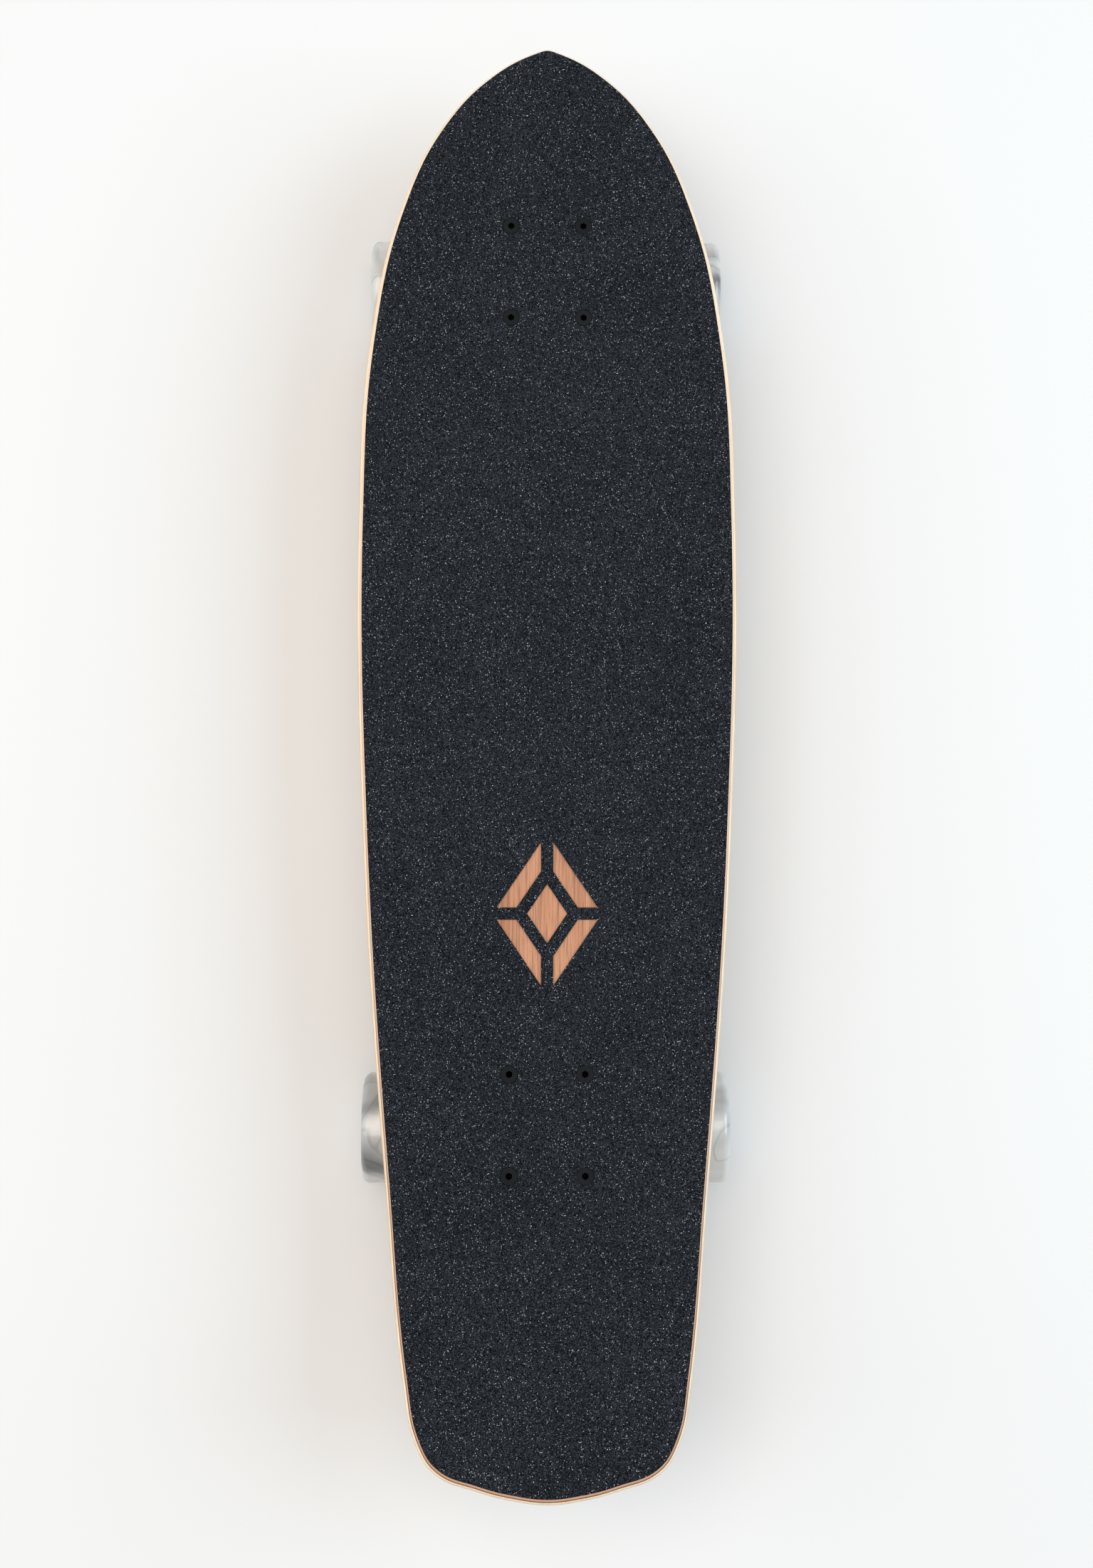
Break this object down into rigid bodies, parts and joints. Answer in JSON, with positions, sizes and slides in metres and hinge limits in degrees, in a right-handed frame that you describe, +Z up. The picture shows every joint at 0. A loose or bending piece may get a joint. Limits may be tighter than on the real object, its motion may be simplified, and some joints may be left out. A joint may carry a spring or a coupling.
{
  "type": "cruiser skateboard",
  "caption": "Pressed maple cruiser board with gritted deck, concave, kicked tail, spring-centred steering trucks and free-rolling urethane wheels.",
  "frame": {"origin": "centre of the bounding box on the ground that the wheels stand on", "axes": "+Z up, +Y along the board to the nose, +X to the right seen from above with the nose ahead"},
  "size_m": [0.2142, 0.8008, 0.1315],
  "materials": {
    "grip": "coarse mineral grit on a navy-black backing",
    "veneer_rose": "rose-brown stained maple veneer under clear lacquer",
    "veneer_brown": "brown stained maple veneer",
    "veneer_cream": "pale maple veneer",
    "veneer_amber": "light amber maple veneer",
    "veneer_natural": "natural maple under clear lacquer",
    "black_steel": "black oxide, slightly glossy",
    "riser": "matt black riser pad",
    "cast_metal": "tumbled cast aluminium",
    "steel": "zinc plated steel",
    "bushing": "cloudy off-white urethane",
    "pivot_cup": "black urethane",
    "urethane": "glossy white urethane with soft grey marbling",
    "bearing": "ground steel ring with a pressed shield"
  },
  "bodies": {
    "deck": {"grip_tape": "grip", "deck_ply_1": "veneer_rose", "deck_ply_2": "veneer_brown", "deck_ply_3": "veneer_cream", "deck_ply_4": "veneer_amber", "deck_ply_5": "veneer_cream", "deck_ply_6": "veneer_cream", "deck_ply_7": "veneer_natural", "front_bolt_nose_left": "black_steel", "front_bolt_nose_right": "black_steel", "front_bolt_tail_left": "black_steel", "front_bolt_tail_right": "black_steel", "rear_bolt_nose_left": "black_steel", "rear_bolt_nose_right": "black_steel", "rear_bolt_tail_left": "black_steel", "rear_bolt_tail_right": "black_steel", "front_riser_pad": "riser", "front_baseplate": "cast_metal", "front_kingpin": "steel", "front_kingpin_nut": "steel", "front_upper_washer": "steel", "front_lower_washer": "steel", "front_boardside_bushing": "bushing", "front_roadside_bushing": "bushing", "front_pivot_cup": "pivot_cup", "rear_riser_pad": "riser", "rear_baseplate": "cast_metal", "rear_kingpin": "steel", "rear_kingpin_nut": "steel", "rear_upper_washer": "steel", "rear_lower_washer": "steel", "rear_boardside_bushing": "bushing", "rear_roadside_bushing": "bushing", "rear_pivot_cup": "pivot_cup"},
    "front_hanger": {"front_hanger": "cast_metal", "front_axle": "steel", "front_left_inner_sleeve": "steel", "front_left_axle_nut": "steel", "front_right_inner_sleeve": "steel", "front_right_axle_nut": "steel"},
    "front_left_wheel": {"front_left_wheel": "urethane", "front_left_bearing_outer": "bearing", "front_left_bearing_inner": "bearing"},
    "front_right_wheel": {"front_right_wheel": "urethane", "front_right_bearing_outer": "bearing", "front_right_bearing_inner": "bearing"},
    "rear_hanger": {"rear_hanger": "cast_metal", "rear_axle": "steel", "rear_left_inner_sleeve": "steel", "rear_left_axle_nut": "steel", "rear_right_inner_sleeve": "steel", "rear_right_axle_nut": "steel"},
    "rear_left_wheel": {"rear_left_wheel": "urethane", "rear_left_bearing_outer": "bearing", "rear_left_bearing_inner": "bearing"},
    "rear_right_wheel": {"rear_right_wheel": "urethane", "rear_right_bearing_outer": "bearing", "rear_right_bearing_inner": "bearing"}
  },
  "joints": [
    {"name": "front_steer", "type": "hinge", "parent": "deck", "child": "front_hanger", "pos_m": [0, 0.24758, 0.05062], "axis": [0, 0.9088, 0.4172], "range_deg": [-15, 15], "stiffness_Nm_per_rad": 40, "deforming": ["front_boardside_bushing", "front_roadside_bushing"]},
    {"name": "front_left_spin", "type": "hinge", "parent": "front_hanger", "child": "front_left_wheel", "pos_m": [-0.0825, 0.27507, 0.031], "axis": [1, 0, 0], "continuous": true},
    {"name": "front_right_spin", "type": "hinge", "parent": "front_hanger", "child": "front_right_wheel", "pos_m": [0.0825, 0.27507, 0.031], "axis": [1, 0, 0], "continuous": true},
    {"name": "rear_steer", "type": "hinge", "parent": "deck", "child": "rear_hanger", "pos_m": [0, -0.19045, 0.05062], "axis": [0, -0.9088, 0.4172], "range_deg": [-15, 15], "stiffness_Nm_per_rad": 40, "deforming": ["rear_boardside_bushing", "rear_roadside_bushing"]},
    {"name": "rear_left_spin", "type": "hinge", "parent": "rear_hanger", "child": "rear_left_wheel", "pos_m": [-0.0825, -0.21793, 0.031], "axis": [1, 0, 0], "continuous": true},
    {"name": "rear_right_spin", "type": "hinge", "parent": "rear_hanger", "child": "rear_right_wheel", "pos_m": [0.0825, -0.21793, 0.031], "axis": [1, 0, 0], "continuous": true}
  ]
}
